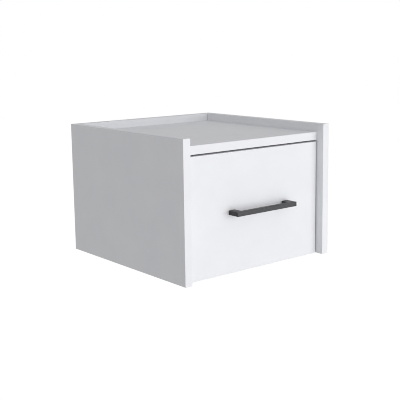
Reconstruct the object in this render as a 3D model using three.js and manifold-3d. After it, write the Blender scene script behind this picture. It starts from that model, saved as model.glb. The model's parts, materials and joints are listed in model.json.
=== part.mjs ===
// A floating nightstand: one drawer under a shallow tray, hung on a wall by its back panel.
// Lengths are in millimetres. X points right, Y points back to the wall and Z points up.
// The origin is the middle of the back face, which lies flat on the wall.

import * as THREE from "three";
import { mergeVertices } from "three/addons/utils/BufferGeometryUtils.js";
import Module from "manifold-3d";

const wasm = await Module();
wasm.setup();

// Case: the side panels stand proud of the top panel and of the drawer front, so the top is a tray with three lips.
const caseWidth = 340;
const caseDepth = 350;
const caseHeight = 245;
const boardThickness = 15;
const frontInset = 16;
const lipHeight = 15;
const edgeEase = 0.8;
const cornerRadius = 1.5 * edgeEase;
const fitGap = 0.3;

// Drawer front: it shows an even gap, and its lower edge is level with the case.
const frontSideGap = 2;
const frontTopGap = 3;
const frontStopGap = 2.5;

// Drawer box. The gap behind it leaves room for slides of a stock length, 300 mm.
const drawerBoardThickness = 12;
const drawerSideDrop = 35;
const drawerFloorGap = 12;
const drawerBackGap = 3.7;
const drawerBottomThickness = 5;
const drawerBottomLift = 10;
const grooveDepth = 6;
const grooveClearance = 0.4;
const drawerJointMargin = 30;

// Telescopic slides: three bent steel rails a side, with two cages of balls between them.
const railSetback = 1.5;
const slideSpace = 12.7;
const slideHeight = 45;
const slideRise = 45;
const railSheet = 1.2;
const cageSheet = 0.6;
const webGap = 0.45;
const bendRadius = 1;
const cageBendRadius = 0.8;
const outerBallDiameter = 4;
const innerBallDiameter = 3.2;
const ballClearance = 0.15;
const cageEndGap = 10;
const cageMargin = 8;
const ballPitch = 22;
const cageReachShare = 0.6;
const raceAngle = Math.PI / 3;

// Screws that hold the rails, on rows a fixed pitch apart. They stop short of the far face of the drawer's side.
const firstScrewRow = 37;
const screwRowPitch = 32;
const railScrewDiameter = 3.5;
const railScrewSkin = 2;
const railScrewHeadRise = 0.15;
const railSlotLength = 9;
const railSlotWidth = 4.5;
const accessHoleDiameter = 9;

// Handle: a square-section bar with a leg at each end, a little right of the middle.
const handleLength = 140;
const handleLegWidth = 14;
const handleProjection = 24.5;
const barThickness = 8;
const barHeight = 8;
const handleShift = 8;
const handleRise = 2;
const handleEase = 0.5;
const handleScrewDiameter = 4;
const handleScrewGrip = 9;
const handleScrewHeadDiameter = 8;
const handleScrewHeadHeight = 2.4;

// Screws that hold the drawer's back between its sides.
const boxScrewDiameter = 4;
const boxScrewLength = 35;
const boxScrewHeadDiameter = 8;
const boxScrewHeadHeight = 2.4;

// Cam locks and their bolts: the large ones join the case, and the small ones hold the drawer front. The skin is what
// a cam's bore leaves of its board, and a bolt's thread stops as far as the end skin from the next board's far face.
const caseCam = {
  board: boardThickness,
  skin: 2.5,
  diameter: 15,
  reach: 34,
  headDiameter: 7,
  neckDiameter: 4,
  shankDiameter: 6,
};
const drawerCam = {
  board: drawerBoardThickness,
  skin: 2,
  diameter: 12,
  reach: 24,
  headDiameter: 5,
  neckDiameter: 3,
  shankDiameter: 5,
};
const boltEndSkin = 4;
const camSetback = 50;
const camRecess = 0.3;
const boreClearance = 0.4;
const pilotClearance = 0.2;

// Holes for the wall screws, countersunk from inside the case.
const wallHoleSpacing = 160;
const wallHoleDiameter = 6;
const wallSinkDiameter = 11;
const wallSinkDepth = 3;
const wallHoleOffset = 32;

// Every cutting tool runs past the face that it opens by this much.
const overrun = 2;

// How finely round shapes are cut.
const holeSides = 12;
const boreSides = 8;
const turnedSides = 8;
const camSides = 12;
const cornerSteps = 2;
const easeSteps = 1;
const bendSteps = 2;
const raceSteps = 5;
const ballSides = 8;
const ballRings = 4;

// Planes that the pieces share.
const halfWidth = caseWidth / 2;
const halfHeight = caseHeight / 2;
const innerHalf = halfWidth - boardThickness;
const caseFront = -caseDepth;
const frontFace = caseFront + frontInset;
const frontBack = frontFace + boardThickness;
const backInner = -boardThickness;
const traySurface = halfHeight - lipHeight;
const ceiling = traySurface - boardThickness;
const floorTop = -halfHeight + boardThickness;
const bottomFront = frontBack + frontStopGap;
const frontTop = ceiling - frontTopGap;

const boxHalf = innerHalf - slideSpace;
const boxInnerHalf = boxHalf - drawerBoardThickness;
const boxFront = frontBack + fitGap;
const boxBack = backInner - drawerBackGap;
const boxLow = floorTop + drawerFloorGap;
const boxHigh = frontTop - drawerSideDrop;
const grooveLow = boxLow + drawerBottomLift;
const grooveHigh = grooveLow + drawerBottomThickness + 2 * grooveClearance;
const backBoardFront = boxBack - drawerBoardThickness;
const jointHeights = [boxLow + drawerJointMargin, boxHigh - drawerJointMargin];

const railLength = boxBack - boxFront;
const railFront = boxFront + railSetback;
const railBack = railFront + railLength;
const slideLevel = boxLow + slideRise;
const lastRow = Math.floor((railLength - 2 * firstScrewRow) / screwRowPitch);
const rowPlace = (row) => firstScrewRow + row * screwRowPitch;
const screwPlaces = [0, Math.ceil(lastRow / 2), lastRow].map(rowPlace);
const slotPlaces = [1, lastRow - 1].map(rowPlace);
const railScrewLength = drawerBoardThickness - railScrewSkin;
const boltThreadLength = boardThickness - boltEndSkin;

// Pulled right out, two rails that run on each other still share half their length, and their cage fits in that.
const cageLength = railLength / 2 - 2 * cageEndGap;

const handleHoleSpacing = handleLength - handleLegWidth;
const handleLevel = (frontTop - halfHeight) / 2 + handleRise;
const handleHoles = [-1, 1].map((side) => handleShift + (side * handleHoleSpacing) / 2);

// Places across a slide, counted from the face of the cabinet rail that lies on the side panel.
const slideStack = slideSpace - 2 * fitGap;
const cabinetWeb = railSheet / 2;
const outerCageWeb = railSheet + webGap + cageSheet / 2;
const middleWeb = outerCageWeb + cageSheet / 2 + webGap + railSheet / 2;
const innerCageWeb = middleWeb + railSheet / 2 + webGap + cageSheet / 2;
const drawerWeb = slideStack - railSheet / 2;
const outerRace = outerBallDiameter / 2 + ballClearance + railSheet / 2;
const innerRace = innerBallDiameter / 2 + ballClearance + railSheet / 2;
const bendReach = bendRadius * (1 + Math.cos(raceAngle));
const outerBallAcross = middleWeb + bendReach + outerRace * Math.cos(raceAngle);
const innerBallAcross = drawerWeb - bendReach - innerRace * Math.cos(raceAngle);
const outerBallUp = slideHeight / 2 - railSheet / 2 - outerRace;
const ballStep = innerBallAcross - outerBallAcross;
const innerBallUp = outerBallUp - Math.sqrt((outerRace + innerRace) ** 2 - ballStep ** 2);

const left = -1;
const right = 1;
const sides = [
  ["left", left],
  ["right", right],
];
const alongX = new THREE.Vector3(1, 0, 0);
const alongY = new THREE.Vector3(0, 1, 0);
const alongZ = new THREE.Vector3(0, 0, 1);
const down = alongZ.clone().negate();

// Materials
function whiteLacquer() {
  return new THREE.MeshStandardMaterial({ color: 0xedeef1, roughness: 0.45, metalness: 0 });
}

function whiteHardboard() {
  return new THREE.MeshStandardMaterial({ color: 0xe6e6e4, roughness: 0.6, metalness: 0 });
}

function greyPowderCoat() {
  return new THREE.MeshStandardMaterial({ color: 0x5c5d60, roughness: 0.5, metalness: 0.3 });
}

function zincPlate() {
  return new THREE.MeshStandardMaterial({ color: 0xb9bcc1, roughness: 0.35, metalness: 1 });
}

function zincCasting() {
  return new THREE.MeshStandardMaterial({ color: 0xa3a5a8, roughness: 0.55, metalness: 1 });
}

// The solid that a closed geometry bounds.
function solidOf(geometry) {
  const bare = geometry.clone();
  bare.deleteAttribute("normal");
  bare.deleteAttribute("uv");
  const merged = mergeVertices(bare);
  return new wasm.Manifold(
    new wasm.Mesh({
      numProp: 3,
      vertProperties: merged.attributes.position.array,
      triVerts: new Uint32Array(merged.index.array),
    }),
  );
}

// The geometry of a solid, with flat faces.
function geometryOf(solid) {
  const mesh = solid.getMesh();
  const geometry = new THREE.BufferGeometry();
  geometry.setAttribute("position", new THREE.BufferAttribute(mesh.vertProperties, 3));
  geometry.setIndex(new THREE.BufferAttribute(mesh.triVerts, 1));
  const flat = geometry.toNonIndexed();
  flat.computeVertexNormals();
  return flat;
}

function cut(geometry, tools) {
  let solid = solidOf(geometry);
  for (const tool of tools) {
    solid = solid.subtract(solidOf(tool));
  }
  return geometryOf(solid);
}

function join(geometries) {
  const [first, ...others] = geometries.map(solidOf);
  return geometryOf(others.reduce((sum, solid) => sum.add(solid), first));
}

// A plain box between two corners.
function block(low, high) {
  const size = high.clone().sub(low);
  const box = new THREE.BoxGeometry(size.x, size.y, size.z);
  const centre = low.clone().add(high).divideScalar(2);
  return box.translate(centre.x, centre.y, centre.z);
}

// The axes that a board's width, height and thickness follow.
const boardAxes = {
  x: [alongY, alongZ, alongX],
  y: [alongZ, alongX, alongY],
  z: [alongX, alongY, alongZ],
};

// A rectangle with rounded corners, drawn round its centre.
function easedRectangle(width, height, radius) {
  const shape = new THREE.Shape();
  const across = width / 2 - radius;
  const up = height / 2 - radius;
  shape.absarc(across, up, radius, 0, Math.PI / 2, false);
  shape.absarc(-across, up, radius, Math.PI / 2, Math.PI, false);
  shape.absarc(-across, -up, radius, Math.PI, 1.5 * Math.PI, false);
  shape.absarc(across, -up, radius, 1.5 * Math.PI, 2 * Math.PI, false);
  shape.closePath();
  return shape;
}

// An outline pushed out to a thickness, with its sharp edges taken off.
function easedPlate(shape, thickness, ease) {
  const plate = new THREE.ExtrudeGeometry(shape, {
    depth: thickness - 2 * ease,
    curveSegments: cornerSteps,
    bevelEnabled: true,
    bevelThickness: ease,
    bevelSize: ease,
    bevelOffset: -ease,
    bevelSegments: easeSteps,
  });
  return plate.translate(0, 0, ease - thickness / 2);
}

// A board between two corners, with eased edges. The axis is the one that its thickness lies along.
function board(low, high, axis) {
  const [across, up, out] = boardAxes[axis];
  const size = high.clone().sub(low);
  const centre = low.clone().add(high).divideScalar(2);
  const shape = easedRectangle(size.dot(across), size.dot(up), cornerRadius);
  const turn = new THREE.Matrix4().makeBasis(across, up, out).setPosition(centre);
  return easedPlate(shape, size.dot(out), edgeEase).applyMatrix4(turn);
}

// A round rod from one point to another, which tapers when it is given a second radius.
function rod(from, to, radius, endRadius = radius, count = boreSides) {
  const line = to.clone().sub(from);
  const cylinder = new THREE.CylinderGeometry(endRadius, radius, line.length(), count);
  const turn = new THREE.Quaternion().setFromUnitVectors(alongY, line.clone().normalize());
  const middle = from.clone().add(to).divideScalar(2);
  return cylinder.applyQuaternion(turn).translate(middle.x, middle.y, middle.z);
}

// A turned piece: its profile gives a radius at each place along the X axis, from one end to the other.
function turned(profile) {
  const points = profile.map(([radius, place]) => new THREE.Vector2(radius, place));
  return new THREE.LatheGeometry(points, turnedSides).rotateZ(-Math.PI / 2);
}

function piece(name, geometry, material) {
  const mesh = new THREE.Mesh(geometry, material);
  mesh.name = name;
  return mesh;
}

// Cam joints. Each has its own frame, with the cam's centre on the bolt's axis as its origin. X runs along the bolt
// into the next board, and Z points out of the face that shows the cam.
function camFrame(centre, toward, face) {
  const across = face.clone().cross(toward);
  return new THREE.Matrix4().makeBasis(toward, across, face).setPosition(centre);
}

function panelCams(panel, level, places, face, axis) {
  return sides.flatMap(([sideName, side]) =>
    Object.entries(places).map(([placeName, place]) => {
      const across = side * (innerHalf - fitGap - caseCam.reach);
      const centre =
        axis === "y"
          ? new THREE.Vector3(across, place, level)
          : new THREE.Vector3(across, level, place);
      const frame = camFrame(centre, alongX.clone().multiplyScalar(side), face);
      return { name: `${panel}_${sideName}_${placeName}`, side, frame, size: caseCam };
    }),
  );
}

const panelBackCam = backInner - fitGap - camSetback;
const topCams = panelCams(
  "top",
  traySurface - boardThickness / 2,
  { front: frontFace + camSetback, rear: panelBackCam },
  down,
  "y",
);
const bottomCams = panelCams(
  "bottom",
  floorTop - boardThickness / 2,
  { front: bottomFront + camSetback, rear: panelBackCam },
  alongZ,
  "y",
);
const backCams = panelCams(
  "back",
  backInner / 2,
  { upper: halfHeight - camSetback, lower: -halfHeight + camSetback },
  alongY,
  "z",
);
const caseCams = [...topCams, ...bottomCams, ...backCams];

const drawerCams = sides.flatMap(([sideName, side]) =>
  ["lower", "upper"].map((heightName, i) => {
    const centre = new THREE.Vector3(
      side * (boxHalf - drawerBoardThickness / 2),
      boxFront + drawerCam.reach,
      jointHeights[i],
    );
    const inward = alongX.clone().multiplyScalar(-side);
    const frame = camFrame(centre, alongY.clone().negate(), inward);
    return { name: `drawer_${sideName}_${heightName}`, side, frame, size: drawerCam };
  }),
);

// The bores for a cam and its bolt, in the board that holds the cam.
function camBores({ frame, size }) {
  const face = size.board / 2;
  const housing = rod(
    new THREE.Vector3(0, 0, size.skin - face),
    new THREE.Vector3(0, 0, face + overrun),
    size.diameter / 2,
    size.diameter / 2,
    camSides,
  );
  const bore = rod(
    new THREE.Vector3(0, 0, 0),
    new THREE.Vector3(size.reach + overrun, 0, 0),
    size.shankDiameter / 2 + boreClearance,
  );
  return [housing.applyMatrix4(frame), bore.applyMatrix4(frame)];
}

// The blind hole for the bolt's thread, in the next board.
function boltSocket({ frame, size }) {
  const mouth = size.reach + fitGap;
  const socket = rod(
    new THREE.Vector3(mouth - overrun, 0, 0),
    new THREE.Vector3(mouth + boltThreadLength + fitGap, 0, 0),
    size.shankDiameter / 2 + boreClearance,
  );
  return socket.applyMatrix4(frame);
}

// The cam: a short drum with a chamber for the bolt's head, a slot for its neck and a way in from one side.
function camLock({ name, frame, size }) {
  const radius = size.diameter / 2 - pilotClearance;
  const face = size.board / 2;
  const chamber = size.headDiameter / 2 + boreClearance;
  const neck = size.neckDiameter / 2 + boreClearance;
  const drum = rod(
    new THREE.Vector3(0, 0, size.skin - face + fitGap),
    new THREE.Vector3(0, 0, face - camRecess),
    radius,
    radius,
    camSides,
  );
  const hollow = rod(
    new THREE.Vector3(0, 0, -chamber),
    new THREE.Vector3(0, 0, chamber),
    chamber,
  );
  const wayIn = block(
    new THREE.Vector3(-chamber, -radius - overrun, -chamber),
    new THREE.Vector3(chamber, 0, chamber),
  );
  const neckSlot = block(
    new THREE.Vector3(0, -neck, -neck),
    new THREE.Vector3(radius + overrun, neck, neck),
  );
  const mesh = piece(`${name}_cam`, cut(drum, [hollow, wayIn, neckSlot]), zincCasting());
  mesh.applyMatrix4(frame);
  return mesh;
}

// The bolt: a round head inside the cam, a thin neck, a plain shank and a threaded end.
function camBolt({ name, frame, size }) {
  const head = size.headDiameter / 2;
  const neck = size.neckDiameter / 2;
  const shank = size.shankDiameter / 2;
  const shoulder = size.diameter / 2 + boreClearance;
  const end = size.reach + fitGap + boltThreadLength;
  const profile = [
    [0, -neck],
    [neck, -neck],
    [head, 0],
    [neck, neck],
    [neck, shoulder],
    [shank, shoulder + (shank - neck)],
    [shank, end - shank],
    [neck / 2, end],
    [0, end],
  ];
  const mesh = piece(`${name}_cam_bolt`, turned(profile), zincPlate());
  mesh.applyMatrix4(frame);
  return mesh;
}

function onSide(joints, side) {
  return joints.filter((joint) => joint.side === side);
}

// Pilot holes for the screws of a rail, in the board that it lies on. They run from the rail's face into the board.
function railPilots(face, side, direction) {
  return screwPlaces.map((place) => {
    const mouth = new THREE.Vector3(side * face, railFront + place, slideLevel);
    const inward = alongX.clone().multiplyScalar(side * direction);
    return rod(
      mouth.clone().addScaledVector(inward, -overrun),
      mouth.clone().addScaledVector(inward, railScrewLength + fitGap),
      railScrewDiameter / 2 + pilotClearance,
    );
  });
}

// Case boards
function sidePanel(name, side) {
  const inner = side * innerHalf;
  const outer = side * halfWidth;
  const low = new THREE.Vector3(Math.min(inner, outer), caseFront, -halfHeight);
  const high = new THREE.Vector3(Math.max(inner, outer), 0, halfHeight);
  const tools = [...onSide(caseCams, side).map(boltSocket), ...railPilots(innerHalf, side, 1)];
  return piece(name, cut(board(low, high, "x"), tools), whiteLacquer());
}

function topPanel() {
  const low = new THREE.Vector3(-innerHalf + fitGap, frontFace, ceiling);
  const high = new THREE.Vector3(innerHalf - fitGap, backInner - fitGap, traySurface);
  return piece("top_panel", cut(board(low, high, "z"), topCams.flatMap(camBores)), whiteLacquer());
}

function bottomPanel() {
  const low = new THREE.Vector3(-innerHalf + fitGap, bottomFront, -halfHeight);
  const high = new THREE.Vector3(innerHalf - fitGap, backInner - fitGap, floorTop);
  const bores = bottomCams.flatMap(camBores);
  return piece("bottom_panel", cut(board(low, high, "z"), bores), whiteLacquer());
}

function wallHoles() {
  const levels = [ceiling - wallHoleOffset, floorTop + wallHoleOffset];
  return levels.flatMap((level) =>
    sides.flatMap(([, side]) => {
      const x = (side * wallHoleSpacing) / 2;
      const hole = rod(
        new THREE.Vector3(x, backInner - overrun, level),
        new THREE.Vector3(x, overrun, level),
        wallHoleDiameter / 2,
        wallHoleDiameter / 2,
        holeSides,
      );
      const sink = rod(
        new THREE.Vector3(x, backInner - fitGap, level),
        new THREE.Vector3(x, backInner + wallSinkDepth, level),
        wallSinkDiameter / 2,
        wallHoleDiameter / 2,
        holeSides,
      );
      return [hole, sink];
    }),
  );
}

function backPanel() {
  const low = new THREE.Vector3(-innerHalf + fitGap, backInner, -halfHeight);
  const high = new THREE.Vector3(innerHalf - fitGap, 0, halfHeight);
  const tools = [...backCams.flatMap(camBores), ...wallHoles()];
  return piece("back_panel", cut(board(low, high, "y"), tools), whiteLacquer());
}

// Drawer boards
const grooveHalf = boxInnerHalf + grooveDepth;

// The groove that the drawer bottom sits in runs round the inside of all four boards.
function bottomGroove() {
  return block(
    new THREE.Vector3(-grooveHalf, frontBack - grooveDepth, grooveLow),
    new THREE.Vector3(grooveHalf, backBoardFront + grooveDepth, grooveHigh),
  );
}

function drawerFront() {
  const low = new THREE.Vector3(-innerHalf + frontSideGap, frontFace, -halfHeight);
  const high = new THREE.Vector3(innerHalf - frontSideGap, frontBack, frontTop);
  const handleBores = handleHoles.map((x) =>
    rod(
      new THREE.Vector3(x, frontFace - overrun, handleLevel),
      new THREE.Vector3(x, frontBack + overrun, handleLevel),
      handleScrewDiameter / 2 + boreClearance,
    ),
  );
  const tools = [bottomGroove(), ...drawerCams.map(boltSocket), ...handleBores];
  return piece("drawer_front", cut(board(low, high, "y"), tools), whiteLacquer());
}

function drawerSide(name, side) {
  const inner = side * boxInnerHalf;
  const outer = side * boxHalf;
  const low = new THREE.Vector3(Math.min(inner, outer), boxFront, boxLow);
  const high = new THREE.Vector3(Math.max(inner, outer), boxBack, boxHigh);
  const tools = [
    bottomGroove(),
    ...onSide(drawerCams, side).flatMap(camBores),
    ...railPilots(boxHalf, side, -1),
    ...jointHeights.flatMap((level) => boxScrewBores(side, level)),
  ];
  return piece(name, cut(board(low, high, "x"), tools), whiteLacquer());
}

function drawerBack() {
  const half = boxInnerHalf - fitGap;
  const low = new THREE.Vector3(-half, backBoardFront, boxLow);
  const high = new THREE.Vector3(half, boxBack, boxHigh);
  const screws = sides.flatMap(([, side]) =>
    jointHeights.flatMap((level) => boxScrewBores(side, level)),
  );
  const tools = [bottomGroove(), ...screws];
  return piece("drawer_back", cut(board(low, high, "y"), tools), whiteLacquer());
}

function drawerBottom() {
  const half = grooveHalf - grooveClearance;
  const low = new THREE.Vector3(
    -half,
    frontBack - grooveDepth + grooveClearance,
    grooveLow + grooveClearance,
  );
  const high = new THREE.Vector3(
    half,
    backBoardFront + grooveDepth - grooveClearance,
    grooveHigh - grooveClearance,
  );
  return piece("drawer_bottom", block(low, high), whiteHardboard());
}

// Countersunk screws through the drawer's sides into its back. Each lies along X with its head in the side's face.
const boxScrewLine = boxBack - drawerBoardThickness / 2;

function boxScrewBores(side, level) {
  const place = (x) => new THREE.Vector3(side * x, boxScrewLine, level);
  const tip = boxHalf - boxScrewLength - fitGap;
  const radius = boxScrewDiameter / 2 + pilotClearance;
  const sinkRadius = boxScrewHeadDiameter / 2 + boreClearance;
  const sinkDepth = boxScrewHeadHeight + fitGap;
  return [
    rod(place(tip), place(boxHalf + overrun), radius),
    rod(place(boxHalf - sinkDepth), place(boxHalf), radius, sinkRadius),
  ];
}

function boxScrew(name, side, level) {
  const radius = boxScrewDiameter / 2;
  const head = boxScrewHeadDiameter / 2 - pilotClearance;
  const face = -fitGap;
  const profile = [
    [0, -boxScrewLength],
    [radius, -boxScrewLength + boxScrewDiameter],
    [radius, -boxScrewHeadHeight],
    [head, face - pilotClearance],
    [head, face],
    [0, face],
  ];
  const screw = piece(name, turned(profile), zincPlate());
  screw.position.set(side * boxHalf, boxScrewLine, level);
  screw.rotation.z = side === right ? 0 : Math.PI;
  return screw;
}

// Handle: its outline is drawn from above, with the bar in front and the legs behind.
function handle() {
  const end = handleLength / 2;
  const leg = end - handleLegWidth;
  const foot = -fitGap;
  const bar = -handleProjection;
  const shape = new THREE.Shape();
  shape.moveTo(-end, bar);
  shape.lineTo(end, bar);
  shape.lineTo(end, foot);
  shape.lineTo(leg, foot);
  shape.lineTo(leg, bar + barThickness);
  shape.lineTo(-leg, bar + barThickness);
  shape.lineTo(-leg, foot);
  shape.lineTo(-end, foot);
  shape.closePath();
  const holes = handleHoles.map((x) =>
    rod(
      new THREE.Vector3(x - handleShift, -handleScrewGrip - fitGap, 0),
      new THREE.Vector3(x - handleShift, overrun, 0),
      handleScrewDiameter / 2 + pilotClearance,
    ),
  );
  const mesh = piece("handle", cut(easedPlate(shape, barHeight, handleEase), holes), greyPowderCoat());
  mesh.position.set(handleShift, frontFace, handleLevel);
  return mesh;
}

// A pan-head screw from inside the drawer, through its front and into a leg of the handle.
function handleScrew(name, x) {
  const radius = handleScrewDiameter / 2;
  const head = handleScrewHeadDiameter / 2;
  const start = fitGap;
  const top = start + handleScrewHeadHeight;
  const end = -boardThickness - handleScrewGrip;
  const profile = [
    [0, end],
    [radius / 2, end],
    [radius, end + radius],
    [radius, start],
    [head, start],
    [head, start + handleScrewHeadHeight / 2],
    [head - handleScrewHeadHeight / 2, top],
    [0, top],
  ];
  const screw = piece(name, turned(profile), zincPlate());
  screw.position.set(x, frontBack, handleLevel);
  screw.rotation.z = Math.PI / 2;
  return screw;
}

// Slides are drawn as the left one: X runs from the side panel to the drawer, Y from the rail's back end, Z from its
// middle. The right one is its mirror image.
function arc(across, up, radius, from, to, steps) {
  const points = [];
  for (let i = 0; i <= steps; i++) {
    const angle = from + ((to - from) * i) / steps;
    points.push(new THREE.Vector2(across + radius * Math.cos(angle), up + radius * Math.sin(angle)));
  }
  return points;
}

// The outline of a bent sheet: its middle line, given for the upper half, is mirrored and then thickened.
function sheetShape(upperHalf, thickness) {
  const lowerHalf = upperHalf.map((point) => new THREE.Vector2(point.x, -point.y)).reverse();
  const line = [...lowerHalf, ...upperHalf];
  const directions = line.slice(1).map((point, i) => point.clone().sub(line[i]).normalize());
  const edge = (side) =>
    line.map((point, i) => {
      const before = directions[Math.max(i - 1, 0)];
      const after = directions[Math.min(i, directions.length - 1)];
      const mitre = before.clone().add(after);
      const scale = (side * thickness) / 2 / (1 + before.dot(after));
      return new THREE.Vector2(point.x - mitre.y * scale, point.y + mitre.x * scale);
    });
  return new THREE.Shape([...edge(-1), ...edge(1).reverse()]);
}

function sheetRail(upperHalf, thickness, length) {
  const profile = sheetShape(upperHalf, thickness);
  const rail = new THREE.ExtrudeGeometry(profile, { depth: length, bevelEnabled: false });
  return rail.rotateX(Math.PI / 2);
}

// The cabinet rail closes over the outer balls from above and below.
function cabinetRailLine() {
  const lean = Math.PI / 2 - raceAngle;
  const flange = outerBallUp + outerRace * Math.sin(lean);
  const corner = flange - bendRadius;
  return [
    ...arc(cabinetWeb + bendRadius, corner, bendRadius, Math.PI, Math.PI / 2, bendSteps),
    ...arc(outerBallAcross, outerBallUp, outerRace, Math.PI - lean, lean, raceSteps),
  ];
}

// The middle rail cups the outer balls from inside, and then turns over the inner balls.
function middleRailLine() {
  const corner = outerBallUp - (outerRace + bendRadius) * Math.sin(raceAngle);
  const turn = Math.atan2(innerBallUp - outerBallUp, ballStep);
  return [
    ...arc(middleWeb + bendRadius, corner, bendRadius, Math.PI, raceAngle, bendSteps),
    ...arc(outerBallAcross, outerBallUp, outerRace, raceAngle - Math.PI, turn, bendSteps).slice(1),
    ...arc(
      innerBallAcross,
      innerBallUp,
      innerRace,
      turn + Math.PI,
      Math.PI / 2 - raceAngle,
      raceSteps,
    ).slice(1),
  ];
}

// The drawer rail cups the inner balls from inside.
function drawerRailLine() {
  const corner = innerBallUp - (innerRace + bendRadius) * Math.sin(raceAngle);
  return [
    ...arc(drawerWeb - bendRadius, corner, bendRadius, 0, Math.PI - raceAngle, bendSteps),
    ...arc(
      innerBallAcross,
      innerBallUp,
      innerRace,
      -raceAngle,
      raceAngle / 2 - Math.PI,
      raceSteps,
    ).slice(1),
  ];
}

function cageLine(web, ballAcross, ballUp, ballRadius) {
  const corner = ballUp - cageBendRadius;
  return [
    ...arc(web + cageBendRadius, corner, cageBendRadius, Math.PI, Math.PI / 2, bendSteps),
    new THREE.Vector2(ballAcross + ballRadius * cageReachShare, ballUp),
  ];
}

// A rail screw is one piece with its rail: it starts a little above the web, and its shank runs into the board.
function railScrew(web, place, direction) {
  const start = web - direction * (railSheet / 2 + railScrewHeadRise);
  const end = web + direction * (railSheet / 2 + fitGap + railScrewLength);
  return rod(
    new THREE.Vector3(start, place, 0),
    new THREE.Vector3(end, place, 0),
    railScrewDiameter / 2,
  );
}

function railSlot(web, place) {
  const run = (railSlotLength - railSlotWidth) / 2;
  const ends = [-run, run].map((shift) =>
    rod(
      new THREE.Vector3(web - overrun, place + shift, 0),
      new THREE.Vector3(web + overrun, place + shift, 0),
      railSlotWidth / 2,
    ),
  );
  const middle = block(
    new THREE.Vector3(web - overrun, place - run, -railSlotWidth / 2),
    new THREE.Vector3(web + overrun, place + run, railSlotWidth / 2),
  );
  return join([...ends, middle]);
}

function fixedRail(name, line, web, direction) {
  const places = screwPlaces.map((place) => place - railLength);
  const slots = slotPlaces.map((place) => railSlot(web, place - railLength));
  const shanks = places.map((place) => railScrew(web, place, direction));
  const rail = join([sheetRail(line, railSheet, railLength), ...shanks]);
  return piece(name, cut(rail, slots), zincPlate());
}

// The middle rail has round holes that let a driver reach the cabinet rail's screws.
function middleRail(name) {
  const holes = screwPlaces.map((place) =>
    rod(
      new THREE.Vector3(middleWeb - overrun, place - railLength, 0),
      new THREE.Vector3(middleWeb + overrun, place - railLength, 0),
      accessHoleDiameter / 2,
    ),
  );
  const rail = sheetRail(middleRailLine(), railSheet, railLength);
  return piece(name, cut(rail, holes), zincPlate());
}

// A cage holds its balls in two rows, and lies half way along the rails when the drawer is shut.
function ballCage(name, web, ballAcross, ballUp, ballDiameter) {
  const line = cageLine(web, ballAcross, ballUp, ballDiameter / 2);
  const start = (cageLength - railLength) / 2;
  const strip = sheetRail(line, cageSheet, cageLength).translate(0, start, 0);
  const count = Math.floor((cageLength - 2 * cageMargin) / ballPitch) + 1;
  const balls = [];
  for (let i = 0; i < count; i++) {
    const place = -railLength / 2 + (i - (count - 1) / 2) * ballPitch;
    for (const up of [-ballUp, ballUp]) {
      const ball = new THREE.SphereGeometry(ballDiameter / 2, ballSides, ballRings);
      balls.push(ball.rotateX(Math.PI / 2).translate(ballAcross, place, up));
    }
  }
  return piece(name, join([strip, ...balls]), zincPlate());
}

function slide(sideName, side) {
  const group = new THREE.Group();
  group.position.set(side * (innerHalf - fitGap), railBack, slideLevel);
  group.scale.x = -side;
  group.add(fixedRail(`${sideName}_cabinet_rail`, cabinetRailLine(), cabinetWeb, -1));
  group.add(
    ballCage(
      `${sideName}_outer_ball_cage`,
      outerCageWeb,
      outerBallAcross,
      outerBallUp,
      outerBallDiameter,
    ),
  );
  group.add(middleRail(`${sideName}_middle_rail`));
  group.add(
    ballCage(
      `${sideName}_inner_ball_cage`,
      innerCageWeb,
      innerBallAcross,
      innerBallUp,
      innerBallDiameter,
    ),
  );
  group.add(fixedRail(`${sideName}_drawer_rail`, drawerRailLine(), drawerWeb, 1));
  return group;
}

function buildCase() {
  const group = new THREE.Group();
  for (const [sideName, side] of sides) {
    group.add(sidePanel(`${sideName}_side_panel`, side));
  }
  group.add(topPanel(), bottomPanel(), backPanel());
  for (const joint of caseCams) {
    group.add(camLock(joint), camBolt(joint));
  }
  return group;
}

function buildDrawer() {
  const group = new THREE.Group();
  group.add(drawerFront(), drawerBack(), drawerBottom(), handle());
  for (const [sideName, side] of sides) {
    group.add(drawerSide(`drawer_${sideName}_side`, side));
    ["lower", "upper"].forEach((heightName, i) => {
      group.add(boxScrew(`${sideName}_${heightName}_box_screw`, side, jointHeights[i]));
    });
  }
  sides.forEach(([sideName], i) => {
    group.add(handleScrew(`${sideName}_handle_screw`, handleHoles[i]));
  });
  for (const joint of drawerCams) {
    group.add(camLock(joint), camBolt(joint));
  }
  return group;
}

const nightstand = new THREE.Group();
nightstand.add(buildCase(), buildDrawer());
for (const [sideName, side] of sides) {
  nightstand.add(slide(sideName, side));
}

export default nightstand;
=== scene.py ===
"""A floating nightstand: a white lacquered case hung on a wall, with one drawer on ball-bearing slides.

X points right, Y points back to the wall and Z points up.
Lengths are in metres, and the named ones are counts of MM.
"""

import json
import math

import bmesh
import bpy
from bpy.props import FloatProperty, FloatVectorProperty, IntProperty, PointerProperty
from mathutils import Matrix, Vector

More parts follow.
